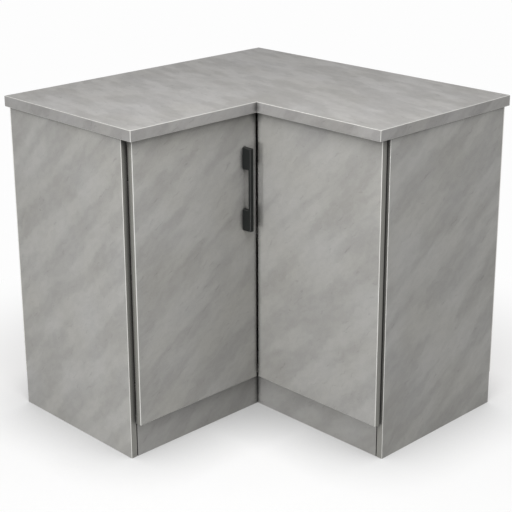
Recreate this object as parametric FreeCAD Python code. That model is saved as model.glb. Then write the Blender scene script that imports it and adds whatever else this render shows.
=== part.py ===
"""Corner base cabinet: an L-shaped carcass under one L-shaped worktop, with a bi-fold corner door.

The wall corner is at +X +Y. The left arm runs along the +Y wall and its leaf faces -Y; the right
arm runs along the +X wall and its leaf faces -X. The origin is the middle of the plan on the floor.
"""
import FreeCAD
import Part
import os
from FreeCAD import Vector

# Overall sizes, millimetres
wall_length = 900.0
overall_height = 850.0
worktop_depth = 500.0
worktop_thickness = 28.0
worktop_end_overhang = 8.0
worktop_back_overhang = 12.0
worktop_edge_round = 2.0

# Carcass boards
board = 18.0
panel_depth = 442.0
plinth_height = 90.0
plinth_gap = 2.0
back_board = 3.0
rail_width = 80.0
corner_post_width = 100.0
shelf_height = 452.0
shelf_setback = 30.0
shelf_play = 1.0
board_edge_round = 1.5

# Doors
door_thickness = 16.0
door_gap = 4.0
door_top_gap = 3.0
door_bottom_gap = 2.0
left_door_overlay = 2.5
right_door_overlay = 10.5
corner_gap = 2.0
door_edge_round = 2.0

# Handle
handle_length = 218.0
handle_width = 12.0
handle_projection = 27.5
handle_foot_length = 56.0
handle_bar_thickness = 7.5
handle_top_drop = 86.0
handle_edge_inset = 36.0
handle_round = 1.5
handle_hole_spacing = 160.0

# Concealed hinges: pivots are measured from the leaf's outer front arris, along the leaf and inward
hinge_end_inset = 100.0
cup_radius = 17.5
cup_depth = 11.5
cup_wall = 1.5
cup_edge_distance = 21.5
cup_fit = 0.1
cup_flange_thickness = 1.5
cup_flange_length = 62.0
cup_flange_width = 22.0
cup_flange_round = 6.6
cup_rim_width = 1.5
cup_rim_thickness = 0.8
cup_screw_spacing = 48.0
swing_axis = (5.0, 5.0)
cup_pivot = (22.0, 12.5)
arm_pivot = (23.0, 23.0)
pivot_pin_radius = 1.5
pivot_fit = 0.05
tongue_half_height = 3.0
link_side_play = 0.2
link_plate_thickness = 2.0
link_half_width = 2.8
arm_nose_radius = 3.2
coupler_half_width = 2.6
lug_radius = 3.5
plate_setback = 37.0
plate_length = 34.0
plate_thickness = 5.5
plate_wing_width = 11.0
plate_wing_height = 50.0
plate_body_height = 15.0
plate_wing_round = 4.4
plate_screw_spacing = 32.0
arm_height = 13.0
arm_thickness = 8.0
arm_length = 46.0
arm_round = 2.4

# Corner fold hinges between the two leaves
fold_axis_depth = 8.0
fold_hinge_length = 60.0
fold_knuckle_radius = 4.0
fold_pin_radius = 2.0
fold_flap_thickness = 1.5
fold_flap_width = 13.0
fold_web_thickness = 2.0
fold_knuckle_play = 0.3

# Fasteners and small parts
screw_radius = 2.0
screw_head_radius = 3.6
screw_head_height = 2.2
screw_fit = 0.1
rail_screw_bite = 14.0
rail_screw_end_inset = 60.0
rail_screw_corner_inset = 75.0
hinge_screw_length = 11.0
handle_screw_length = 22.0
dowel_radius = 4.0
dowel_bite = 10.0
dowel_fit = 0.05
floor_dowel_inset = 53.0
rail_dowel_inset = 20.0
shelf_pin_radius = 2.5
shelf_pin_bite = 10.0
shelf_pin_reach = 8.0
shelf_pin_inset = 60.0
shelf_hole_pitch = 32.0
shelf_hole_steps = (-2, -1, 1, 2)
bumper_radius = 3.2
bumper_end_inset = 40.0
corner_plate_length = 90.0
corner_plate_width = 32.0
corner_plate_thickness = 2.0
corner_plate_end_inset = 13.0
corner_plate_joint_inset = 13.0

# Places worked out from the sizes above
wall = wall_length / 2
back = wall - worktop_back_overhang
front = back - panel_depth
end_outer = -wall + worktop_end_overhang
end_inner = end_outer + board
worktop_front = wall - worktop_depth
underside = overall_height - worktop_thickness
floor_board_top = plinth_height + board
door_back = front - door_gap
door_front = door_back - door_thickness
door_bottom = plinth_height + door_bottom_gap
door_top = underside - door_top_gap
left_door_outer = end_inner - left_door_overlay
right_door_outer = end_inner - right_door_overlay
door_inner = door_front - corner_gap
hinge_heights = {"lower": door_bottom + hinge_end_inset, "upper": door_top - hinge_end_inset}
knee_pivot = (
    arm_pivot[0] + cup_pivot[0] - swing_axis[0],
    arm_pivot[1] + cup_pivot[1] - swing_axis[1],
)
link_inner = tongue_half_height + link_side_play
link_outer = link_inner + link_plate_thickness
pin_half_length = link_outer + link_side_play
fold_axis = door_front + fold_axis_depth
fold_knuckle_length = fold_hinge_length / 3
left_fold_screw_offset = fold_knuckle_length / 4
right_fold_screw_offset = fold_knuckle_length
touch = 1e-4


def block(x0, x1, y0, y1, z0, z1):
    return Part.makeBox(x1 - x0, y1 - y0, z1 - z0, Vector(x0, y0, z0))


def prism(points, z0, z1):
    outline = [Vector(x, y, z0) for x, y in points]
    wire = Part.makePolygon(outline + outline[:1])
    return Part.Face(wire).extrude(Vector(0, 0, z1 - z0))


def rod(centre, direction, length, radius):
    return Part.makeCylinder(radius, length, Vector(*centre), Vector(*direction))


def mirrored(shape):
    """Swap the two arms: x and y change places."""
    return shape.mirror(Vector(0, 0, 0), Vector(1, -1, 0))


def rounded(shape, radius, chosen):
    edges = [edge for edge in shape.Edges if chosen(edge)]
    return shape.makeFillet(radius, edges)


def edge_ends(edge):
    return [vertex.Point for vertex in edge.Vertexes]


def lies_at(edge, axis, value):
    return all(abs(getattr(point, axis) - value) < touch for point in edge_ends(edge))


def runs_along(edge, axis):
    ends = edge_ends(edge)
    return abs(getattr(ends[0], axis) - getattr(ends[-1], axis)) > touch


def corner_outline(end, near, far):
    """The L of a board: its two ends, its two front edges and its two wall edges."""
    return [(end, near), (near, near), (near, end), (far, end), (far, far), (end, far)]


def screw(tip, direction, length):
    """A round-headed screw: its head seats at the surface, the shank runs along direction."""
    start = Vector(*tip)
    along = Vector(*direction)
    shank = Part.makeCylinder(screw_radius, length, start, along)
    head = Part.makeCylinder(screw_head_radius, screw_head_height, start - along * screw_head_height, along)
    return shank.fuse(head).removeSplitter()


def screw_hole(tip, direction, length):
    start = Vector(*tip)
    return Part.makeCylinder(screw_radius + screw_fit, length + screw_fit, start, Vector(*direction))


# Carcass

def corner_posts():
    left = block(back - corner_post_width, back, back - board, back, 0, underside)
    right = block(back - board, back, back - corner_post_width, back - board, 0, underside)
    return left, right


def rail_screw_places():
    middle = front + rail_width / 2
    first = end_inner + rail_screw_end_inset
    last = front - rail_screw_corner_inset
    return [(along, middle) for along in (first, (first + last) / 2, last)]


def rail_screws():
    solids = []
    for along, across in rail_screw_places():
        for x, y in ((along, across), (across, along)):
            solids.append(screw((x, y, underside - board), (0, 0, 1), board + rail_screw_bite))
    return solids


def rail_screw_holes(length):
    holes = []
    for along, across in rail_screw_places():
        for x, y in ((along, across), (across, along)):
            holes.append(screw_hole((x, y, underside - board), (0, 0, 1), length))
    return holes


def worktop():
    slab = prism(corner_outline(-wall, worktop_front, wall), underside, overall_height)
    free_corners = ((-wall, worktop_front), (worktop_front, -wall))

    def eased(edge):
        upright = any(lies_at(edge, "x", x) and lies_at(edge, "y", y) for x, y in free_corners)
        at_wall = lies_at(edge, "x", wall) or lies_at(edge, "y", wall)
        lower = lies_at(edge, "z", underside) and not at_wall
        return upright or lower or lies_at(edge, "z", overall_height)

    slab = rounded(slab, worktop_edge_round, eased)
    return slab.cut(rail_screw_holes(board + rail_screw_bite))


def dowel_places():
    """Dowels from each end panel into the floor board and the rails: across the panel, and height."""
    floor_middle = plinth_height + board / 2
    rail_middle = underside - board / 2
    floor_spots = (front + floor_dowel_inset, (front + back) / 2, back - floor_dowel_inset)
    rail_spots = (rail_dowel_inset, rail_width - rail_dowel_inset)
    places = [(across, floor_middle) for across in floor_spots]
    places += [(front + inset, rail_middle) for inset in rail_spots]
    places += [(back - board / 2, underside - inset) for inset in rail_spots]
    return places


def dowel_solids(radius, bite):
    """The left panel's dowels, run along X."""
    start = end_inner - bite
    return [rod((start, y, z), (1, 0, 0), 2 * bite, radius) for y, z in dowel_places()]


def both_arms(solids):
    return solids + [mirrored(solid) for solid in solids]


def shelf_pin_places():
    """Shelf pins on the left panel: across the panel."""
    return [front + shelf_setback + shelf_pin_inset, back - shelf_pin_inset]


def shelf_pins(radius, bite, step=0):
    """The left arm's pins: two in the end panel and one in the corner post, at a step of the hole rows."""
    height = shelf_height - shelf_pin_radius + step * shelf_hole_pitch
    start = end_inner - bite
    reach = bite + shelf_pin_reach
    pins = [rod((start, y, height), (1, 0, 0), reach, radius) for y in shelf_pin_places()]
    post_face = back - board
    post_x = back - corner_post_width / 2 - board / 2
    pins.append(rod((post_x, post_face + bite, height), (0, -1, 0), reach, radius))
    return pins


def shelf_pin_holes():
    """Holes for the pins where the shelf is, and spare ones above and below it."""
    holes = []
    for step in (0, *shelf_hole_steps):
        holes += shelf_pins(shelf_pin_radius + dowel_fit, shelf_pin_bite + dowel_fit, step)
    return holes


def end_panel():
    """The left end panel; the right one is its mirror image apart from the hinge holes."""
    panel = block(end_outer, end_inner, front, back, 0, underside)

    def front_arris(edge):
        return lies_at(edge, "y", front) and (lies_at(edge, "x", end_outer) or lies_at(edge, "x", end_inner))

    panel = rounded(panel, board_edge_round, front_arris)
    panel = panel.cut(dowel_solids(dowel_radius + dowel_fit, dowel_bite + dowel_fit))
    return panel.cut(shelf_pin_holes())


def left_side_panel():
    return end_panel().cut([plate_screw_hole(z) for z in plate_screw_heights()])


def right_side_panel():
    return mirrored(end_panel())


def bottom_panel():
    slab = prism(corner_outline(end_inner, front, back), plinth_height, floor_board_top)
    holes = both_arms(dowel_solids(dowel_radius + dowel_fit, dowel_bite + dowel_fit))
    return slab.cut(list(corner_posts()) + holes)


def shelf():
    near = front + shelf_setback
    far = back - shelf_play
    end = end_inner + shelf_play
    slab = prism(corner_outline(end, near, far), shelf_height, shelf_height + board)
    start = back - corner_post_width - shelf_play
    post = back - board - shelf_play
    corner = [
        block(start, back, post, back, shelf_height, shelf_height + board),
        block(post, back, start, back, shelf_height, shelf_height + board),
    ]
    slab = slab.cut(corner)

    def front_arris(edge):
        at_front = lies_at(edge, "y", near) or lies_at(edge, "x", near)
        return at_front and not runs_along(edge, "z")

    return rounded(slab, board_edge_round, front_arris)


def back_panels():
    left = block(end_outer, back, back, back + back_board, plinth_height, underside)
    right = block(back, back + back_board, end_outer, back + back_board, plinth_height, underside)
    return left, right


def front_rails():
    holes = rail_screw_holes(board) + corner_plate_holes()
    dowels = both_arms(dowel_solids(dowel_radius + dowel_fit, dowel_bite + dowel_fit))
    far = front + rail_width
    left = block(end_inner, far, front, far, underside - board, underside)
    right = block(front, far, end_inner, front, underside - board, underside)
    return left.cut(holes + dowels), right.cut(holes + dowels)


def back_rails():
    dowels = both_arms(dowel_solids(dowel_radius + dowel_fit, dowel_bite + dowel_fit))
    end = back - corner_post_width
    left = block(end_inner, end, back - board, back, underside - rail_width, underside)
    left = left.cut(dowels)
    right = block(back - board, back, end_inner, end, underside - rail_width, underside)
    return left, right.cut(dowels)


def corner_plate_places():
    middle = front + rail_width / 2
    outer = corner_plate_length / 2 - corner_plate_end_inset
    inner = corner_plate_joint_inset
    return [(middle, front + along) for along in (-outer, -inner, inner, outer)]


def corner_plate_holes():
    z = underside - board
    return [screw_hole((x, y, z), (0, 0, 1), hinge_screw_length) for x, y in corner_plate_places()]


def corner_plate():
    """The flat mending plate under the joint of the two front rails."""
    middle = front + rail_width / 2
    half = corner_plate_length / 2
    z1 = underside - board
    z0 = z1 - corner_plate_thickness
    side = corner_plate_width / 2
    plate = block(middle - side, middle + side, front - half, front + half, z0, z1)
    holes = [screw_hole((x, y, z0), (0, 0, 1), corner_plate_thickness) for x, y in corner_plate_places()]
    return plate.cut(holes)


def corner_plate_screws():
    z = underside - board - corner_plate_thickness
    length = hinge_screw_length + corner_plate_thickness
    return [screw((x, y, z), (0, 0, 1), length) for x, y in corner_plate_places()]


def plinths():
    inside = front + board
    end = end_inner + plinth_gap
    left = block(end, inside, front, inside, 0, plinth_height)
    right = block(front, inside, end, front - plinth_gap, 0, plinth_height)
    return left, right


# Concealed hinges of the left leaf

def hinge_point(pivot):
    """A pivot given from the leaf's outer front arris, as a point in plan."""
    return left_door_outer + pivot[0], door_front + pivot[1]


def pivot_pin(pivot, z):
    x, y = hinge_point(pivot)
    return rod((x, y, z - pin_half_length), (0, 0, 1), 2 * pin_half_length, pivot_pin_radius)


def pivot_bore(pivot, z):
    x, y = hinge_point(pivot)
    return rod((x, y, z - pin_half_length), (0, 0, 1), 2 * pin_half_length, pivot_pin_radius + pivot_fit)


def slotted_bar(start, end, half_width, z0, z1):
    """A flat bar with round ends about two points in plan."""
    along = Vector(end[0] - start[0], end[1] - start[1], 0)
    side = Vector(-along.y, along.x, 0).normalize() * half_width
    first = Vector(start[0], start[1], z0)
    second = Vector(end[0], end[1], z0)
    reach = along.normalize() * half_width
    outline = [
        Part.LineSegment(first + side, second + side).toShape(),
        Part.Arc(second + side, second + reach, second - side).toShape(),
        Part.LineSegment(second - side, first - side).toShape(),
        Part.Arc(first - side, first - reach, first + side).toShape(),
    ]
    return Part.Face(Part.Wire(outline)).extrude(Vector(0, 0, z1 - z0))


def plate_middle():
    return front + plate_setback


def plate_screw_heights():
    half = plate_screw_spacing / 2
    return [z + side * half for z in hinge_heights.values() for side in (-1, 1)]


def plate_screw_hole(z):
    return screw_hole((end_inner, plate_middle(), z), (-1, 0, 0), hinge_screw_length)


def hinge_plate(z):
    """A cross-shaped mounting plate: a long body for the arm and two screw wings."""
    face = end_inner + plate_thickness
    y = plate_middle()
    half_body = plate_body_height / 2
    half_wing = plate_wing_height / 2
    body = block(end_inner, face, y - plate_length / 2, y + plate_length / 2, z - half_body, z + half_body)
    wing_face = end_inner + plate_thickness / 2
    half_width = plate_wing_width / 2
    wings = block(end_inner, wing_face, y - half_width, y + half_width, z - half_wing, z + half_wing)
    plate = body.fuse(wings).removeSplitter()

    def wing_corner(edge):
        tip = lies_at(edge, "z", z - half_wing) or lies_at(edge, "z", z + half_wing)
        return tip and runs_along(edge, "x")

    plate = rounded(plate, plate_wing_round, wing_corner)
    half = plate_screw_spacing / 2
    holes = [screw_hole((wing_face, y, z + side * half), (-1, 0, 0), plate_thickness) for side in (-1, 1)]
    return plate.cut(holes)


def hinge_plate_screws():
    face = end_inner + plate_thickness / 2
    length = hinge_screw_length + plate_thickness / 2
    return [screw((face, plate_middle(), z), (-1, 0, 0), length) for z in plate_screw_heights()]


def hinge_arm(z):
    """A channel lying on the mounting plate, with a cranked neck forward to the nose pivot."""
    base = end_inner + plate_thickness
    y = plate_middle()
    rear = y + plate_length / 2
    half = arm_height / 2
    channel = block(base, base + arm_thickness, rear - arm_length, rear, z - half, z + half)
    channel = rounded(channel, arm_round, lambda edge: lies_at(edge, "x", base + arm_thickness))
    nose = hinge_point(arm_pivot)
    heel = (base + arm_thickness / 2, rear - arm_length + arm_thickness)
    neck = slotted_bar(nose, heel, arm_nose_radius, z - tongue_half_height, z + tongue_half_height)
    arm = channel.fuse(neck).removeSplitter()
    bore = arm_screw_hole(z)
    return arm.cut([pivot_bore(arm_pivot, z), bore])


def arm_screw_place(z):
    return end_inner + plate_thickness + arm_thickness, plate_middle(), z


def arm_screw_hole(z):
    return screw_hole(arm_screw_place(z), (-1, 0, 0), arm_thickness)


def arm_screws():
    return [screw(arm_screw_place(z), (-1, 0, 0), arm_thickness) for z in hinge_heights.values()]


def crank_links(z):
    """Two matching plates from the arm's nose to the knee, one above and one below the tongue."""
    start = hinge_point(arm_pivot)
    end = hinge_point(knee_pivot)
    plates = []
    for z0 in (z + link_inner, z - link_outer):
        plate = slotted_bar(start, end, link_half_width, z0, z0 + link_plate_thickness)
        plates.append(plate.cut([pivot_bore(arm_pivot, z), pivot_bore(knee_pivot, z)]))
    return plates


def coupler(z):
    """The tongue from the knee into the cup. It keeps its direction while the leaf swings."""
    start = hinge_point(knee_pivot)
    end = hinge_point(cup_pivot)
    bar = slotted_bar(start, end, coupler_half_width, z - tongue_half_height, z + tongue_half_height)
    return bar.cut([pivot_bore(knee_pivot, z), pivot_bore(cup_pivot, z)])


def cup_centre():
    return left_door_outer + cup_edge_distance


def cup_hole(z):
    bottom = door_back - cup_depth - cup_fit
    return rod((cup_centre(), bottom, z), (0, 1, 0), cup_depth + cup_fit, cup_radius + cup_fit)


def hinge_cup(z):
    """A round cup with a rim, two screw wings and two lugs that carry the coupler's pin."""
    x = cup_centre()
    bottom = door_back - cup_depth
    body = rod((x, bottom, z), (0, 1, 0), cup_depth, cup_radius)
    rim = rod((x, door_back, z), (0, 1, 0), cup_rim_thickness, cup_radius + cup_rim_width)
    half_length = cup_flange_length / 2
    half_width = cup_flange_width / 2
    flange = block(x - half_width, x + half_width, door_back, door_back + cup_flange_thickness,
                   z - half_length, z + half_length)
    flange = rounded(flange, cup_flange_round, lambda edge: runs_along(edge, "y"))
    open_depth = cup_depth + cup_flange_thickness
    cavity = rod((x, bottom + cup_wall, z), (0, 1, 0), open_depth, cup_radius - cup_wall)
    cup = body.fuse([rim, flange]).removeSplitter().cut(cavity)
    pivot_x, pivot_y = hinge_point(cup_pivot)
    lugs = []
    for z0 in (z + link_inner, z - link_outer):
        stem = block(pivot_x - lug_radius, pivot_x + lug_radius, bottom + cup_wall / 2, pivot_y,
                     z0, z0 + link_plate_thickness)
        eye = rod((pivot_x, pivot_y, z0), (0, 0, 1), link_plate_thickness, lug_radius)
        lugs.append(stem.fuse(eye).removeSplitter())
    cup = cup.fuse(lugs).removeSplitter()
    holes = [cup_screw_hole(z, side, cup_flange_thickness) for side in (-1, 1)]
    return cup.cut([pivot_bore(cup_pivot, z)] + holes)


def cup_screw_place(z, side):
    return cup_centre(), door_back + cup_flange_thickness, z + side * cup_screw_spacing / 2


def cup_screw_hole(z, side, length):
    return screw_hole(cup_screw_place(z, side), (0, -1, 0), length)


def cup_screws():
    length = hinge_screw_length + cup_flange_thickness
    places = [cup_screw_place(z, side) for z in hinge_heights.values() for side in (-1, 1)]
    return [screw(place, (0, -1, 0), length) for place in places]


# Corner fold hinges

def knuckle_spans(z):
    """Heights of the three knuckles: the outer two on the left flap, the middle one on the right."""
    half = fold_hinge_length / 2
    middle = fold_knuckle_length / 2
    left = [(z - half, z - middle), (z + middle, z + half)]
    right = [(z - middle + fold_knuckle_play, z + middle - fold_knuckle_play)]
    return left, right


def fold_flap(z, spans, offset):
    """A flap on the left leaf's end, with its web and knuckles. The right flap is its mirror image."""
    face = door_inner + fold_flap_thickness
    low = z - fold_hinge_length / 2
    middle = (door_front + door_back) / 2
    flap = block(door_inner, face, middle - fold_flap_width / 2, middle + fold_flap_width / 2,
                 low, low + fold_hinge_length)
    pieces = []
    for z0, z1 in spans:
        half = fold_web_thickness / 2
        pieces.append(block(door_inner, fold_axis, fold_axis - half, fold_axis + half, z0, z1))
        pieces.append(rod((fold_axis, fold_axis, z0), (0, 0, 1), z1 - z0, fold_knuckle_radius))
    flap = flap.fuse(pieces).removeSplitter()
    bore = rod((fold_axis, fold_axis, low), (0, 0, 1), fold_hinge_length, fold_pin_radius + pivot_fit)
    holes = [screw_hole(place, (-1, 0, 0), fold_flap_thickness) for place in fold_screw_places(z, offset)]
    return flap.cut([bore] + holes)


def fold_screw_places(z, offset):
    return [(door_inner + fold_flap_thickness, fold_axis, z + side * offset) for side in (-1, 1)]


def fold_screws(offset):
    length = hinge_screw_length + fold_flap_thickness
    places = [place for z in hinge_heights.values() for place in fold_screw_places(z, offset)]
    return [screw(place, (-1, 0, 0), length) for place in places]


def fold_screw_holes(offset):
    length = hinge_screw_length + fold_flap_thickness
    places = [place for z in hinge_heights.values() for place in fold_screw_places(z, offset)]
    return [screw_hole(place, (-1, 0, 0), length) for place in places]


def fold_pin(z):
    low = z - fold_hinge_length / 2
    return rod((fold_axis, fold_axis, low), (0, 0, 1), fold_hinge_length, fold_pin_radius)


# Doors

def door_leaf(outer):
    """A leaf facing -Y from its outer end to the corner, with eased front edges."""
    leaf = block(outer, door_inner, door_front, door_back, door_bottom, door_top)
    return rounded(leaf, door_edge_round, lambda edge: lies_at(edge, "y", door_front))


def left_door():
    holes = []
    for z in hinge_heights.values():
        holes.append(cup_hole(z))
        holes += [cup_screw_hole(z, side, hinge_screw_length + cup_flange_thickness) for side in (-1, 1)]
    holes += handle_screw_holes() + fold_screw_holes(left_fold_screw_offset)
    return door_leaf(left_door_outer).cut(holes)


def right_door():
    return mirrored(door_leaf(right_door_outer).cut(fold_screw_holes(right_fold_screw_offset)))


def handle_middle():
    x = door_inner - handle_edge_inset - handle_width / 2
    return x, door_top - handle_top_drop - handle_length / 2


def handle_screw_places():
    x, z = handle_middle()
    return [(x, door_back, z + side * handle_hole_spacing / 2) for side in (-1, 1)]


def handle_screws():
    return [screw(place, (0, -1, 0), handle_screw_length) for place in handle_screw_places()]


def handle_screw_holes():
    return [screw_hole(place, (0, -1, 0), handle_screw_length) for place in handle_screw_places()]


def handle():
    """A square bar handle: a flat grip carried on two long feet."""
    x, z = handle_middle()
    outer = door_front - handle_projection
    inner = outer + handle_bar_thickness
    half = handle_length / 2
    foot = half - handle_foot_length
    outline = [
        (door_front, -half), (outer, -half), (outer, half), (door_front, half),
        (door_front, foot), (inner, foot), (inner, -foot), (door_front, -foot),
    ]
    points = [Vector(x - handle_width / 2, y, z + height) for y, height in outline]
    face = Part.Face(Part.makePolygon(points + points[:1]))
    bar = face.extrude(Vector(handle_width, 0, 0))

    def off_the_door(edge):
        return not lies_at(edge, "y", door_front)

    return rounded(bar, handle_round, off_the_door).cut(handle_screw_holes())


def bumpers():
    """Soft stops on the carcass front, behind the free ends of both leaves."""
    solids = []
    across = (end_inner + right_door_outer) / 2
    for z in (door_bottom + bumper_end_inset, door_top - bumper_end_inset):
        solids.append(mirrored(rod((across, door_back, z), (0, 1, 0), door_gap, bumper_radius)))
    along = door_inner - bumper_end_inset
    for z in ((door_bottom + floor_board_top) / 2, (door_top + underside - board) / 2):
        solids.append(rod((along, door_back, z), (0, 1, 0), door_gap, bumper_radius))
    return solids


def all_nodes():
    post_holes = both_arms(shelf_pin_holes())
    left_post, right_post = [post.cut(post_holes) for post in corner_posts()]
    left_back, right_back = back_panels()
    left_front_rail, right_front_rail = front_rails()
    left_back_rail, right_back_rail = back_rails()
    left_plinth, right_plinth = plinths()
    nodes = {
        "worktop": [worktop()],
        "left_side_panel": [left_side_panel()],
        "right_side_panel": [right_side_panel()],
        "bottom_panel": [bottom_panel()],
        "shelf": [shelf()],
        "shelf_pins": both_arms(shelf_pins(shelf_pin_radius, shelf_pin_bite)),
        "left_back_panel": [left_back],
        "right_back_panel": [right_back],
        "left_corner_post": [left_post],
        "right_corner_post": [right_post],
        "left_front_rail": [left_front_rail],
        "right_front_rail": [right_front_rail],
        "left_back_rail": [left_back_rail],
        "right_back_rail": [right_back_rail],
        "rail_corner_plate": [corner_plate()],
        "rail_corner_plate_screws": corner_plate_screws(),
        "worktop_screws": rail_screws(),
        "left_plinth": [left_plinth],
        "right_plinth": [right_plinth],
        "dowels": both_arms(dowel_solids(dowel_radius, dowel_bite)),
        "door_bumpers": bumpers(),
        "left_door": [left_door()],
        "right_door": [right_door()],
        "handle": [handle()],
        "handle_screws": handle_screws(),
        "hinge_plate_screws": hinge_plate_screws(),
        "hinge_arm_screws": arm_screws(),
        "hinge_cup_screws": cup_screws(),
        "left_fold_flap_screws": fold_screws(left_fold_screw_offset),
        "right_fold_flap_screws": [mirrored(item) for item in fold_screws(right_fold_screw_offset)],
    }
    for name, z in hinge_heights.items():
        left_spans, right_spans = knuckle_spans(z)
        nodes[name + "_hinge_plate"] = [hinge_plate(z)]
        nodes[name + "_hinge_arm"] = [hinge_arm(z)]
        nodes[name + "_hinge_arm_pin"] = [pivot_pin(arm_pivot, z)]
        nodes[name + "_hinge_crank_links"] = crank_links(z)
        nodes[name + "_hinge_knee_pin"] = [pivot_pin(knee_pivot, z)]
        nodes[name + "_hinge_coupler"] = [coupler(z)]
        nodes[name + "_hinge_cup_pin"] = [pivot_pin(cup_pivot, z)]
        nodes[name + "_hinge_cup"] = [hinge_cup(z)]
        nodes[name + "_left_fold_flap"] = [fold_flap(z, left_spans, left_fold_screw_offset)]
        nodes[name + "_right_fold_flap"] = [mirrored(fold_flap(z, right_spans, right_fold_screw_offset))]
        nodes[name + "_fold_pin"] = [fold_pin(z)]
    return nodes


def main():
    os.makedirs("parts", exist_ok=True)
    for name, solids in all_nodes().items():
        shape = solids[0] if len(solids) == 1 else Part.makeCompound(solids)
        shape.exportStep("parts/" + name + ".step")
        print(name, len(shape.Solids), round(shape.Volume), shape.isValid())


if __name__ == "__main__":
    main()
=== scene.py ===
import math

import bmesh
import bpy
from mathutils import Euler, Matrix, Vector


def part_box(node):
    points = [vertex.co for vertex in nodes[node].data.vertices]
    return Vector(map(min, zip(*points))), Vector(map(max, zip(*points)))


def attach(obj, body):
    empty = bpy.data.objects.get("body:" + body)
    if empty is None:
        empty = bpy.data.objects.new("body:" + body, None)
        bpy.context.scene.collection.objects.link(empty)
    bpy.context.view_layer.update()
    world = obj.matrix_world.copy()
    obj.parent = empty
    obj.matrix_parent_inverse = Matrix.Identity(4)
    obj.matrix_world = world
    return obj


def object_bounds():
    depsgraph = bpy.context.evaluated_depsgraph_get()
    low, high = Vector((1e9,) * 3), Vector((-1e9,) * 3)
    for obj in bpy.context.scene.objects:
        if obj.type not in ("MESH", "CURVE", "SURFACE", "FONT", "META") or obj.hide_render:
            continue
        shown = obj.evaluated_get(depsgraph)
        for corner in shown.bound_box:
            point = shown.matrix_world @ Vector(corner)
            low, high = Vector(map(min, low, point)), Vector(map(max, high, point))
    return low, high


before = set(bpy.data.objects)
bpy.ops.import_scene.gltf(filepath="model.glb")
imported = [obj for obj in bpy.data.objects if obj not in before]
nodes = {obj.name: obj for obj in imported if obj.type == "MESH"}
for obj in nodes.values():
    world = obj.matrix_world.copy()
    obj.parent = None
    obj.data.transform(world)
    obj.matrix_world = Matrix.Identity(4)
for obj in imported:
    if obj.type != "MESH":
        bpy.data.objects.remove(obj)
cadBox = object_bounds()
scene = bpy.context.scene
mm = 0.001

squareOn = 0.9              # cosine from which a face counts as looking a given way
arrisTurn = (0.96, 0.75)    # largest axis share of the normal where an arris starts, and where it is full
noiseSpan = (0.3, 0.7)      # nearly all values of a noise texture lie in here


def linear(hexCode):
    channels = [int(hexCode[i:i + 2], 16) / 255 for i in (1, 3, 5)]
    toned = [c / 12.92 if c <= 0.04045 else ((c + 0.055) / 1.055) ** 2.4 for c in channels]
    return (*toned, 1.0)


def addNode(tree, kind, settings=None, links=None):
    node = tree.nodes.new("ShaderNode" + kind)
    for name, value in (settings or {}).items():
        setattr(node, name, value)
    for socket, value in (links or {}).items():
        if isinstance(value, bpy.types.NodeSocket):
            tree.links.new(value, node.inputs[socket])
        else:
            node.inputs[socket].default_value = value
    return node


def compute(tree, operation, *values):
    return addNode(tree, "Math", {"operation": operation}, dict(enumerate(values))).outputs[0]


def vectorMath(tree, operation, *values):
    node = addNode(tree, "VectorMath", {"operation": operation}, dict(enumerate(values)))
    return node.outputs["Value" if operation in ("DOT_PRODUCT", "LENGTH") else "Vector"]


def ramp(tree, value, start=0.0, end=1.0, low=0.0, high=1.0, interpolation="LINEAR"):
    return addNode(tree, "MapRange", {"interpolation_type": interpolation},
                   {0: value, 1: start, 2: end, 3: low, 4: high}).outputs[0]


def blend(tree, share, first, second, blendType="MIX"):
    return addNode(tree, "Mix", {"data_type": "RGBA", "blend_type": blendType},
                   {0: share, 6: first, 7: second}).outputs[2]


def darken(tree, colour, share):
    return addNode(tree, "VectorMath", {"operation": "SCALE"}, {0: colour, "Scale": share}).outputs[0]


def noise(tree, places, size, detail, roughness=0.5, output="Fac"):
    return addNode(tree, "TexNoise", links={
        "Vector": places, "Scale": 1 / size, "Detail": detail, "Roughness": roughness}).outputs[output]


def newMaterial(name):
    material = bpy.data.materials.new(name)
    material.use_nodes = True
    tree = material.node_tree
    tree.nodes.clear()
    return material, tree, addNode(tree, "TexCoord").outputs


def shadeWith(tree, links):
    shader = addNode(tree, "BsdfPrincipled", links=links)
    addNode(tree, "OutputMaterial", links={"Surface": shader.outputs[0]})


def dress(material, *nodeNames):
    for nodeName in nodeNames:
        slots = nodes[nodeName].data.materials
        slots.clear()
        slots.append(material)


def facing(tree, normal, direction):
    return compute(tree, "GREATER_THAN", vectorMath(tree, "DOT_PRODUCT", normal, direction), squareOn)


# how much of the normal lies along each axis
def axisShares(tree, normal):
    squared = vectorMath(tree, "MULTIPLY", normal, normal)
    return addNode(tree, "SeparateXYZ", links={0: squared}).outputs


# 1 on a rounded arris, which is where no axis holds the whole normal
def arrisShare(tree, normal):
    shares = axisShares(tree, normal)
    widest = compute(tree, "MAXIMUM", shares["X"], shares["Y"])
    widest = compute(tree, "MAXIMUM", widest, shares["Z"])
    return ramp(tree, widest, *arrisTurn, interpolation="SMOOTHSTEP")


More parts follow.
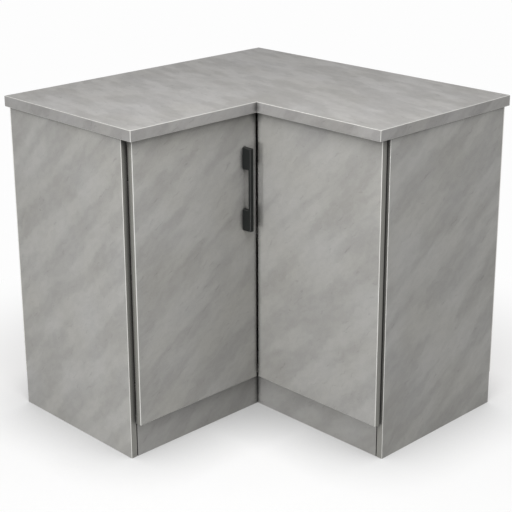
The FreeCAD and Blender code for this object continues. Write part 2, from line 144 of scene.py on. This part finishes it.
# Concrete-look melamine laminate on chipboard, pressed against a fine stone-textured plate.
# The eye gets a matt grey with broad, ragged, slanting trowel strokes, short dragged pits and plainer
# bands on the narrow edges; pale lines on the milled-round arrises that face the light are painted
# highlights.
laminate = {
    "light": "#ACABA6",
    "dark": "#979692",
    "warm": "#A6A39C",
    "cool": "#A0A0A5",
    "tintShare": 0.32,
    "edgeBand": "#8B8A85",
    # pale painted highlight on the rounded arrises that face the light
    "arris": "#EAEAE5",
    "arrisFacing": 0.15,    # an arris gets the pale painted highlight where it turns at least this far to the lit side
    "slant": (44, 35),      # degrees above level on faces that look along X and along Y
    "worktopSlant": -12,    # degrees off the arm's length on the worktop
    "stroke": (240, 54),    # mm along and across the trowel strokes
    "strokeNoise": (1.5, 0.45),  # detail and roughness of the noise, here and below
    "nick": (26, 26),       # mm: size of the nicks in a stroke's edge
    "nickNoise": (2, 0.55),
    "nickReach": (44, 22),  # mm over which nicks can push a stroke's edge along and across
    "patch": (130, 130),
    "patchNoise": (1, 0.5),
    "mottle": (32, 15),
    "mottleNoise": (3, 0.55),
    "grit": (3.5, 3.5),     # the real grit is under 1 mm, drawn coarser so that it shows
    "gritNoise": (2, 0.6),
    "pit": (34, 8),         # real pits are 1 or 2 mm, drawn as longer drag marks so that they show
    "pitNoise": (2, 0.6),
    "pitCrests": (0.64, 0.74),  # pits lie on the noise's few highest crests
    "pitColour": "#3F3F3F",
    "pitShare": 0.16,
    "strokeTone": (0.10, 0.43),  # half the noise's width from dark to light, and share of the grey
    "patchTone": (0.20, 0.14),
    "mottleTone": (0.20, 0.29),
    "gritTone": (0.20, 0.14),
    "roughness": (0.44, 0.60),
    "refraction": 1.5,
    "specular": 0.35,
    "bumpHeight": 0.12,     # mm
    "bumpStrength": 0.5,
    "jointReach": 30,       # mm from a joint over which the painted shade darkens it
    "footOpenness": 0.5,    # the floor alone hides half of what a board's foot could see
    "faceJoint": (0.52, 0.76, 0.12),  # openness that is darkest, openness that is clear, darkest share
    "edgeJoint": (0.50, 0.94, 0.20),
    "topJoint": (0.66, 0.86, 0.50),
    "topLine": 790,         # mm above the floor: the painted shade below the worktop starts here
}

# Raw chipboard where no band is glued on: pressed flakes in a sandy brown.
chipboard = {"pale": "#C4A477", "deep": "#8A6A42", "flake": (9, 9, 2.2)}


# places measured along and across the trowel's way on each face
def trowelPlaces(tree, point, shares, seed):
    slantX, slantY = [math.radians(angle) for angle in laminate["slant"]]
    turn = math.radians(laminate["worktopSlant"])
    alongSides = ((0, -math.cos(slantX), math.sin(slantX)),
                  (math.cos(slantY), 0, math.sin(slantY)),
                  (math.sin(turn), -math.cos(turn), 0))
    acrossSides = ((0, math.sin(slantX), math.cos(slantX)),
                   (-math.sin(slantY), 0, math.cos(slantY)),
                   (math.cos(turn), math.sin(turn), 0))
    measured = []
    for sideX, sideY, sideZ in (alongSides, acrossSides):
        upright = addNode(tree, "Mix", {"data_type": "VECTOR"}, {0: shares["X"], 4: sideY, 5: sideX})
        every = addNode(tree, "Mix", {"data_type": "VECTOR"},
                        {0: shares["Z"], 4: upright.outputs[1], 5: sideZ})
        measured.append(vectorMath(tree, "DOT_PRODUCT", point, every.outputs[1]))
    return addNode(tree, "CombineXYZ", links={"X": measured[0], "Y": measured[1], "Z": seed}).outputs[0]


def trowelMarks(tree, places, size, settings, output="Fac"):
    length, width = size
    stretched = vectorMath(tree, "MULTIPLY", places, (1 / (length * mm), 1 / (width * mm), 1))
    return noise(tree, stretched, 1.0, *settings, output)


# the same places, pushed about by the nicks in the strokes' edges
def nickedPlaces(tree, trowel):
    along, across = laminate["nickReach"]
    nicks = trowelMarks(tree, trowel, laminate["nick"], laminate["nickNoise"], "Color")
    centred = vectorMath(tree, "SUBTRACT", nicks, (0.5, 0.5, 0.5))
    return vectorMath(tree, "MULTIPLY_ADD", centred, (along * mm, across * mm, 0), trowel)


def rawChipboard(tree, point):
    flakes = vectorMath(tree, "MULTIPLY", point, [1 / (size * mm) for size in chipboard["flake"]])
    cells = addNode(tree, "TexVoronoi", links={"Vector": flakes, "Scale": 1.0})
    flakeTone = addNode(tree, "SeparateColor", links={0: cells.outputs["Color"]}).outputs[0]
    return blend(tree, flakeTone, linear(chipboard["deep"]), linear(chipboard["pale"]))


# painted shade in the narrow joints and in a line below the worktop, darker where nearby parts hide the
# surroundings, but not along the floor
def paintedJointShade(tree, point, onBand):
    reach = laminate["jointReach"] * mm
    nearby = addNode(tree, "AmbientOcclusion", {"samples": 8}, {"Distance": reach}).outputs["AO"]
    height = addNode(tree, "SeparateXYZ", links={0: point}).outputs["Z"]
    overFloor = ramp(tree, height, end=reach, low=laminate["footOpenness"])
    openness = compute(tree, "DIVIDE", nearby, overFloor)
    shades = []
    for shut, clear, darkest in (laminate["faceJoint"], laminate["edgeJoint"], laminate["topJoint"]):
        shades.append(ramp(tree, openness, shut, clear, low=darkest, interpolation="SMOOTHSTEP"))
    inJoint = addNode(tree, "Mix", links={0: onBand, 2: shades[0], 3: shades[1]})
    underTop = compute(tree, "GREATER_THAN", height, laminate["topLine"] * mm)
    topShade = addNode(tree, "Mix", links={0: underTop, 2: 1.0, 3: shades[2]})
    return compute(tree, "MINIMUM", inJoint.outputs[0], topShade.outputs[0])


def concreteLaminate(name, seed, stroke=laminate["stroke"], greys=(laminate["dark"], laminate["light"]),
                     rawEdges=(), bandEdges=(), highlightTowards=(0, 0, 0), highlightShare=0.95, uprightShade=1.0):
    material, tree, place = newMaterial(name)
    point, normal = place["Object"], place["Normal"]
    shares = axisShares(tree, normal)
    trowel = trowelPlaces(tree, point, shares, seed)
    nicked = nickedPlaces(tree, trowel)

    strokes = trowelMarks(tree, nicked, stroke, laminate["strokeNoise"])
    patches = trowelMarks(tree, trowel, laminate["patch"], laminate["patchNoise"])
    mottle = trowelMarks(tree, nicked, laminate["mottle"], laminate["mottleNoise"])
    grit = trowelMarks(tree, trowel, laminate["grit"], laminate["gritNoise"])
    tone = 0.0
    for marks, toning in ((strokes, "strokeTone"), (patches, "patchTone"), (mottle, "mottleTone"),
                          (grit, "gritTone")):
        half, weight = laminate[toning]
        part = ramp(tree, marks, 0.5 - half, 0.5 + half, high=weight, interpolation="SMOOTHSTEP")
        tone = compute(tree, "ADD", part, tone)
    grey = blend(tree, tone, linear(greys[0]), linear(greys[1]))
    tint = blend(tree, patches, linear(laminate["warm"]), linear(laminate["cool"]))
    colour = blend(tree, laminate["tintShare"], grey, tint, "COLOR")

    crests = trowelMarks(tree, nicked, laminate["pit"], laminate["pitNoise"])
    pits = ramp(tree, crests, *laminate["pitCrests"])
    pitted = compute(tree, "MULTIPLY", pits, laminate["pitShare"])
    colour = blend(tree, pitted, colour, linear(laminate["pitColour"]))

    # upright faces can be darker than the top of the same board: the worktop's edge band is a darker tone,
    # and its top is painted paler as if lit more from above
    colour = darken(tree, colour, ramp(tree, shares["Z"], low=uprightShade))

    onBand = 0.0
    for direction in bandEdges:
        onBand = facing(tree, normal, direction)
        colour = blend(tree, onBand, colour, linear(laminate["edgeBand"]))

    # painted highlight: the rounded arrises that turn towards the lit side are made pale
    arris = compute(tree, "MULTIPLY", arrisShare(tree, normal), highlightShare)
    turned = vectorMath(tree, "DOT_PRODUCT", normal, highlightTowards)
    outward = compute(tree, "GREATER_THAN", turned, laminate["arrisFacing"])
    pale = compute(tree, "MULTIPLY", arris, outward)
    colour = blend(tree, pale, colour, linear(laminate["arris"]))

    for direction in rawEdges:
        colour = blend(tree, facing(tree, normal, direction), colour, rawChipboard(tree, point))
    # painted shade in the joints, beside the doors and below the worktop
    colour = darken(tree, colour, paintedJointShade(tree, point, onBand))

    smooth, rough = laminate["roughness"]
    relief = compute(tree, "MULTIPLY_ADD", pits, -1.0, grit)
    bump = addNode(tree, "Bump", links={
        "Strength": laminate["bumpStrength"], "Distance": laminate["bumpHeight"] * mm, "Height": relief})
    shadeWith(tree, {
        "Base Color": colour, "Roughness": ramp(tree, strokes, *noiseSpan, rough, smooth),
        "Normal": bump.outputs[0], "IOR": laminate["refraction"],
        "Specular IOR Level": laminate["specular"]})
    return material


boards = {
    # the worktop's greys are paler than the other boards' though it is the same laminate: painted light on
    # its top
    "worktop": {"seed": 73.4, "stroke": (130, 46), "greys": ("#A8A6A3", "#C0BEBB"),
                "rawEdges": [(1, 0, 0), (0, 1, 0)],
                "highlightTowards": (-1, -1, 1), "highlightShare": 0.65, "uprightShade": 0.66},
    "left_side_panel": {"seed": 35.8, "rawEdges": [(0, 1, 0)], "bandEdges": [(0, -1, 0)],
                        "highlightTowards": (-1, 0, 0)},
    "right_side_panel": {"seed": 75.2, "rawEdges": [(1, 0, 0)], "bandEdges": [(-1, 0, 0)],
                         "highlightTowards": (0, -1, 0)},
    "left_door": {"seed": 63.3, "bandEdges": [(-1, 0, 0)], "highlightTowards": (-1, 0, -0.35)},
    "right_door": {"seed": 41.3, "bandEdges": [(0, -1, 0)], "highlightTowards": (0, -1, -0.35)},
    # the plinths' darker greys are painted shade, from the doors that stand out over them
    "left_plinth": {"seed": 52.3, "greys": ("#8F8E8A", "#A1A09C")},
    "right_plinth": {"seed": 68.8, "greys": ("#8F8E8A", "#A1A09C")},
}
for board, finish in boards.items():
    dress(concreteLaminate("concreteLaminate_" + board, **finish), board)
print("laminate boards:", len(boards))


# White melamine on chipboard, pressed against a pebbled plate: a soft satin white, with a
# plain grey band on the edges that look into the room.
melamine = {
    "white": "#EDECE8",
    "shade": "#E2E1DC",
    "cloud": 71.4,          # mm
    "frontBand": "#8F8E89",
    "pebble": 3.0,          # mm
    "pebbleHeight": 0.1,    # mm
    "bumpStrength": 0.25,
    "roughness": 0.42,
    "refraction": 1.5,
}


def whiteMelamine(name, bandEdges=()):
    material, tree, place = newMaterial(name)
    pebble = addNode(tree, "TexVoronoi", {"feature": "SMOOTH_F1"}, {
        "Vector": place["Object"], "Scale": 1 / (melamine["pebble"] * mm)})
    cloud = noise(tree, place["Object"], melamine["cloud"] * mm, detail=3.0)
    colour = blend(tree, cloud, linear(melamine["shade"]), linear(melamine["white"]))
    for direction in bandEdges:
        banded = facing(tree, place["Normal"], direction)
        colour = blend(tree, banded, colour, linear(melamine["frontBand"]))
    bump = addNode(tree, "Bump", links={
        "Strength": melamine["bumpStrength"], "Distance": melamine["pebbleHeight"] * mm,
        "Height": pebble.outputs["Distance"]})
    shadeWith(tree, {"Base Color": colour, "Roughness": melamine["roughness"],
                     "Normal": bump.outputs[0], "IOR": melamine["refraction"]})
    return material


dress(whiteMelamine("whiteMelamine"), "left_corner_post", "right_corner_post",
      "left_back_rail", "right_back_rail")
dress(whiteMelamine("whiteMelamineBanded", [(-1, 0, 0), (0, -1, 0)]), "bottom_panel", "shelf",
      "left_front_rail", "right_front_rail")


# Hardboard: wood fibre pressed to a thin sheet, lacquered white on the inside face and
# left as brown fibre on the wall side, cloudy, flecked and printed by the press's wire screen.
hardboard = {
    "lacquer": "#E9E8E3",
    "fibre": "#AD8A62",
    "fibreDark": "#806040",
    "bark": "#55402B",
    "fibres": (6.0, 5.0, 0.7),  # mm, detail and roughness; real fibres are under 1 mm, drawn coarser
    "clouds": (110, 3.0, 0.5),
    "flecks": (12, 2.0, 0.6),
    "cloudShare": 0.45,
    "brownSpan": (0.36, 0.64),
    "fleckCrests": (0.64, 0.74),  # bark flecks lie on the noise's few highest crests
    "screen": 7.0,          # the real screen has 2 mm squares, drawn coarser so that it shows
    "wireDepth": 0.35,      # beside the fibres' own relief
    "bumpHeight": 0.2,      # mm
    "bumpStrength": (0.5, 0.05),  # fibre side, lacquered side
    "roughness": (0.75, 0.4),
}


def lacqueredHardboard():
    material, tree, place = newMaterial("lacqueredHardboard")

    def cloudy(size, detail, roughness):
        return noise(tree, place["Object"], size * mm, detail, roughness)

    fibres = cloudy(*hardboard["fibres"])
    tone = addNode(tree, "Mix", links={
        0: hardboard["cloudShare"], 2: fibres, 3: cloudy(*hardboard["clouds"])}).outputs[0]
    brown = blend(tree, ramp(tree, tone, *hardboard["brownSpan"]),
                  linear(hardboard["fibreDark"]), linear(hardboard["fibre"]))
    bark = ramp(tree, cloudy(*hardboard["flecks"]), *hardboard["fleckCrests"])
    brown = blend(tree, bark, brown, linear(hardboard["bark"]))
    lacquered = facing(tree, place["Normal"], (-1, -1, 0))
    colour = blend(tree, lacquered, brown, linear(hardboard["lacquer"]))

    # wires of the screen run up and along the sheet
    spot = addNode(tree, "SeparateXYZ", links={0: place["Object"]}).outputs
    relief = fibres
    for distance in (compute(tree, "ADD", spot["X"], spot["Y"]), spot["Z"]):
        turns = compute(tree, "MULTIPLY", distance, math.tau / (hardboard["screen"] * mm))
        wires = compute(tree, "SINE", turns)
        relief = compute(tree, "MULTIPLY_ADD", wires, hardboard["wireDepth"], relief)
    bumpFibre, bumpLacquer = hardboard["bumpStrength"]
    bump = addNode(tree, "Bump", links={
        "Strength": ramp(tree, lacquered, low=bumpFibre, high=bumpLacquer),
        "Distance": hardboard["bumpHeight"] * mm, "Height": relief})
    roughFibre, roughLacquer = hardboard["roughness"]
    shadeWith(tree, {"Base Color": colour, "Normal": bump.outputs[0],
                     "Roughness": ramp(tree, lacquered, low=roughFibre, high=roughLacquer)})
    return material


dress(lacqueredHardboard(), "left_back_panel", "right_back_panel")


# Beech dowels, turned and fluted: a pinkish straw with short dark flecks.
beech = {"pale": "#D8B78C", "fleck": "#A9805A", "fleckSize": (0.8, 0.8, 5.0), "roughness": 0.55}


def turnedBeech():
    material, tree, place = newMaterial("turnedBeech")
    perMetre = [1 / (size * mm) for size in beech["fleckSize"]]
    grain = noise(tree, vectorMath(tree, "MULTIPLY", place["Object"], perMetre), 1.0, detail=4.0)
    colour = blend(tree, grain, linear(beech["fleck"]), linear(beech["pale"]))
    shadeWith(tree, {"Base Color": colour, "Roughness": beech["roughness"]})
    return material


dress(turnedBeech(), "dowels")


# Die-cast zinc handle under anthracite powder coat: near black, with a fine orange-peel
# that breaks up the highlights, and a pale painted highlight along the rounded arrises.
powderCoat = {
    "coat": "#1A1C1B",
    "peelTone": "#232524",
    "edgeHighlight": "#424241",
    "peel": 2.2,            # mm
    "peelHeight": 0.15,     # mm
    "bumpStrength": 0.3,
    "roughness": 0.46,
    "specular": 0.25,
}


def anthracitePowderCoat():
    material, tree, place = newMaterial("anthracitePowderCoat")
    peel = noise(tree, place["Object"], powderCoat["peel"] * mm, detail=3.0)
    colour = blend(tree, peel, linear(powderCoat["coat"]), linear(powderCoat["peelTone"]))
    # painted highlight: the rounded arrises are made paler
    highlighted = arrisShare(tree, place["Normal"])
    colour = blend(tree, highlighted, colour, linear(powderCoat["edgeHighlight"]))
    bump = addNode(tree, "Bump", links={
        "Strength": powderCoat["bumpStrength"], "Distance": powderCoat["peelHeight"] * mm, "Height": peel})
    shadeWith(tree, {"Base Color": colour, "Roughness": powderCoat["roughness"],
                     "Normal": bump.outputs[0], "Specular IOR Level": powderCoat["specular"]})
    return material


dress(anthracitePowderCoat(), "handle")


# Pressed steel with a plated skin. Nickel is warm and fairly bright, zinc is cooler and duller
# with cloudy spangle, and the fold hinges are black zinc, chosen dark to stand in for the shade in the
# corner gap.
platings = {                # spangle in mm
    "nickelPlatedSteel": {"bright": "#D2CEC6", "dull": "#B4B0A8", "roughness": (0.20, 0.32), "spangle": 6},
    "zincPlatedSteel": {"bright": "#C6CACD", "dull": "#A2A6A8", "roughness": (0.28, 0.45), "spangle": 4},
    "blackZincSteel": {"bright": "#2C2C2D", "dull": "#1B1B1C", "roughness": (0.35, 0.50), "spangle": 4},
}


def platedSteel(name):
    plating = platings[name]
    material, tree, place = newMaterial(name)
    spangle = noise(tree, place["Object"], plating["spangle"] * mm, detail=3.0)
    colour = blend(tree, spangle, linear(plating["dull"]), linear(plating["bright"]))
    smooth, rough = plating["roughness"]
    shadeWith(tree, {"Base Color": colour, "Metallic": 1.0,
                     "Roughness": ramp(tree, spangle, *noiseSpan, rough, smooth)})
    return material


hingeSteel = platedSteel("nickelPlatedSteel")
foldSteel = platedSteel("blackZincSteel")
screwSteel = platedSteel("zincPlatedSteel")
for level in ("lower_", "upper_"):
    for part in ("plate", "arm", "arm_pin", "crank_links", "knee_pin", "coupler", "cup_pin", "cup"):
        dress(hingeSteel, level + "hinge_" + part)
    dress(foldSteel, level + "left_fold_flap", level + "right_fold_flap", level + "fold_pin")
dress(screwSteel, "shelf_pins", "rail_corner_plate", "rail_corner_plate_screws",
      "worktop_screws", "handle_screws", "hinge_plate_screws", "hinge_arm_screws", "hinge_cup_screws",
      "left_fold_flap_screws", "right_fold_flap_screws")


# Wire nails that hold the hardboard backs to the edges of the boards in front of them
backNails = {
    "inset": 9,             # mm in from the sheet's edges, the middle of an 18 mm board
    "spacing": 150,         # mm at most
    "head": ((0, 0.75), (1.6, 0.65), (2.6, 0.35), (3.0, 0)),  # mm: radius and height, crown to rim
    "sides": 16,
}


def evenlySpaced(low, high):
    gaps = math.ceil((high - low) / (backNails["spacing"] * mm))
    return [low + (high - low) * step / gaps for step in range(gaps + 1)]


def nailHead(mesh, centre, sideways, outward):
    sides = backNails["sides"]
    rings = []
    for radius, height in backNails["head"]:
        middle = centre + outward * height * mm
        ring = []
        for side in range(sides if radius else 1):
            turn = math.tau * side / sides
            spoke = sideways * math.cos(turn) + Vector((0, 0, math.sin(turn)))
            ring.append(mesh.verts.new(middle + spoke * radius * mm))
        rings.append(ring)
    for inner, outer in zip(rings, rings[1:]):
        for side in range(sides):
            onward = (side + 1) % sides
            corners = [outer[side], outer[onward]]
            corners += [inner[0]] if len(inner) == 1 else [inner[onward], inner[side]]
            mesh.faces.new(corners).smooth = True
    mesh.faces.new(rings[-1])


def nailBack(board, sideways, outward):
    low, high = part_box(board)
    inset = backNails["inset"] * mm
    across = sideways.dot(low) + inset, sideways.dot(high) - inset
    up = low.z + inset, high.z - inset
    spots = [(a, z) for a in evenlySpaced(*across) for z in up]
    spots += [(a, z) for a in across for z in evenlySpaced(*up)[1:-1]]
    mesh = bmesh.new()
    for a, z in spots:
        nailHead(mesh, sideways * a + outward * outward.dot(high) + Vector((0, 0, z)), sideways, outward)
    bmesh.ops.recalc_face_normals(mesh, faces=mesh.faces)
    data = bpy.data.meshes.new(board + "_nails")
    mesh.to_mesh(data)
    mesh.free()
    data.materials.append(screwSteel)
    nails = bpy.data.objects.new(board + "_nails", data)
    scene.collection.objects.link(nails)
    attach(nails, "carcass")
    return len(spots)


nailCount = nailBack("left_back_panel", Vector((1, 0, 0)), Vector((0, 1, 0)))
nailCount += nailBack("right_back_panel", Vector((0, 1, 0)), Vector((1, 0, 0)))
print("nails in the backs:", nailCount)


# Cast polyurethane bumper dots: clear, slightly frosted.
bumperDot = {
    "tint": "#EEF0EE",
    "frost": 1.11,          # mm
    "roughness": (0.08, 0.2),
    "clearness": 0.85,
    "refraction": 1.48,
}


def clearPolyurethane():
    material, tree, place = newMaterial("clearPolyurethane")
    frost = noise(tree, place["Object"], bumperDot["frost"] * mm, detail=2.0)
    smooth, rough = bumperDot["roughness"]
    shadeWith(tree, {
        "Base Color": linear(bumperDot["tint"]), "Roughness": ramp(tree, frost, low=smooth, high=rough),
        "Transmission Weight": bumperDot["clearness"], "IOR": bumperDot["refraction"]})
    return material


dress(clearPolyurethane(), "door_bumpers")
print("fittings and inner boards dressed")


white = linear("#FFFFFF")
backdrop = 0.983            # a white just short of full

# Pale studio floor: white to the eye, with the object's soft shadow left in it and a painted contact
# shadow near its foot.
floorFinish = {
    "size": 14.0,           # m
    "paint": "#B4B4B4",
    "lift": 0.59,
    "contactReach": 0.20,   # m from the object over which the floor darkens
    "contactSpan": (0.3, 1.0),  # openness of the floor that is darkest, and that is clear
    "contactDark": 0.33,
    "shadowReach": (0.65, 1.25),  # m from the middle: past this the floor is plain white
}


def studioFloor():
    half = floorFinish["size"] / 2
    corners = [(-half, -half, 0), (half, -half, 0), (half, half, 0), (-half, half, 0)]
    mesh = bpy.data.meshes.new("studioFloor")
    mesh.from_pydata(corners, [], [(0, 1, 2, 3)])
    floor = bpy.data.objects.new("studioFloor", mesh)
    scene.collection.objects.link(floor)

    material, tree, place = newMaterial("mattFloorPaint")
    paint = addNode(tree, "BsdfDiffuse", links={"Color": linear(floorFinish["paint"])})
    rays = addNode(tree, "LightPath").outputs
    seen = compute(tree, "MAXIMUM", rays["Is Camera Ray"], rays["Is Glossy Ray"])
    seen = compute(tree, "MAXIMUM", seen, rays["Is Transmission Ray"])
    # painted contact shadow: the floor's glow dims where the object hides its surroundings
    contact = addNode(tree, "AmbientOcclusion", {"samples": 16}, {"Distance": floorFinish["contactReach"]})
    lift = ramp(tree, contact.outputs["AO"], *floorFinish["contactSpan"],
                floorFinish["lift"] * floorFinish["contactDark"], floorFinish["lift"])
    lifted = compute(tree, "MULTIPLY", seen, lift)
    glow = addNode(tree, "Emission", links={"Color": white, "Strength": lifted})
    near = addNode(tree, "AddShader", links={0: paint.outputs[0], 1: glow.outputs[0]})

    reach = vectorMath(tree, "LENGTH", place["Object"])
    fade = ramp(tree, reach, *floorFinish["shadowReach"], interpolation="SMOOTHSTEP")
    away = compute(tree, "MULTIPLY", fade, seen)
    plain = addNode(tree, "Emission", links={"Color": white, "Strength": backdrop})
    whole = addNode(tree, "MixShader", links={0: away, 1: near.outputs[0], 2: plain.outputs[0]})
    addNode(tree, "OutputMaterial", links={"Surface": whole.outputs[0]})
    mesh.materials.append(material)


studioFloor()

ambient = 0.45
softboxes = {               # metres and watts
    "left": {"place": (-3.0, -0.5, 0.4), "size": 0.8, "power": 33.0},
    "overhead": {"place": (-0.6, -0.6, 1.9), "size": 1.0, "power": 9.5},
    "front": {"place": (-1.2, -1.2, 2.0), "size": 1.2, "power": 8.8},
    "right": {"place": (1.2, -2.8, 1.2), "size": 1.2, "power": 12.5},
}


def studioWorld():
    world = bpy.data.worlds.new("studioWorld")
    world.use_nodes = True
    scene.world = world
    tree = world.node_tree
    tree.nodes.clear()
    rays = addNode(tree, "LightPath").outputs
    seen = compute(tree, "MAXIMUM", rays["Is Camera Ray"], rays["Is Transmission Ray"])
    strength = ramp(tree, seen, low=ambient, high=backdrop)
    sky = addNode(tree, "Background", links={"Color": white, "Strength": strength})
    addNode(tree, "OutputWorld", links={"Surface": sky.outputs[0]})


def softbox(name, aim, place, size, power):
    lamp = bpy.data.lights.new(name, "AREA")
    lamp.shape = "DISK"
    lamp.size = size
    lamp.energy = power
    box = bpy.data.objects.new(name, lamp)
    scene.collection.objects.link(box)
    box.location = place
    box.rotation_euler = (box.location - aim).to_track_quat("Z", "Y").to_euler()


studioWorld()
cadMiddle = (cadBox[0] + cadBox[1]) / 2
for name, lamp in softboxes.items():
    softbox(name + "Softbox", cadMiddle, **lamp)
print("floor and lights set")


# Standing eye height, square to the inner corner
view = {
    "location": (-2.209, -2.252, 1.577),
    "yaw": 45.54,           # degrees from +X towards +Y
    "pitch": 17.47,         # degrees down
    "roll": 0.20,
    "focalPixels": 1282.7,  # on a picture 512 pixels wide
    "picture": 512,
    "sensor": 36.0,         # mm
    "rise": 60,             # pixels that the object sits above the middle
}


def standCamera():
    data = bpy.data.cameras.new("camera")
    data.sensor_width = view["sensor"]
    data.lens = view["focalPixels"] / view["picture"] * view["sensor"]
    data.shift_y = -view["rise"] / view["picture"]
    camera = bpy.data.objects.new("camera", data)
    scene.collection.objects.link(camera)
    camera.location = view["location"]
    camera.rotation_euler = Euler((math.radians(90 - view["pitch"]), math.radians(view["roll"]),
                                   math.radians(view["yaw"] - 90)))
    scene.camera = camera


standCamera()
scene.view_settings.view_transform = "Standard"
print("camera set")
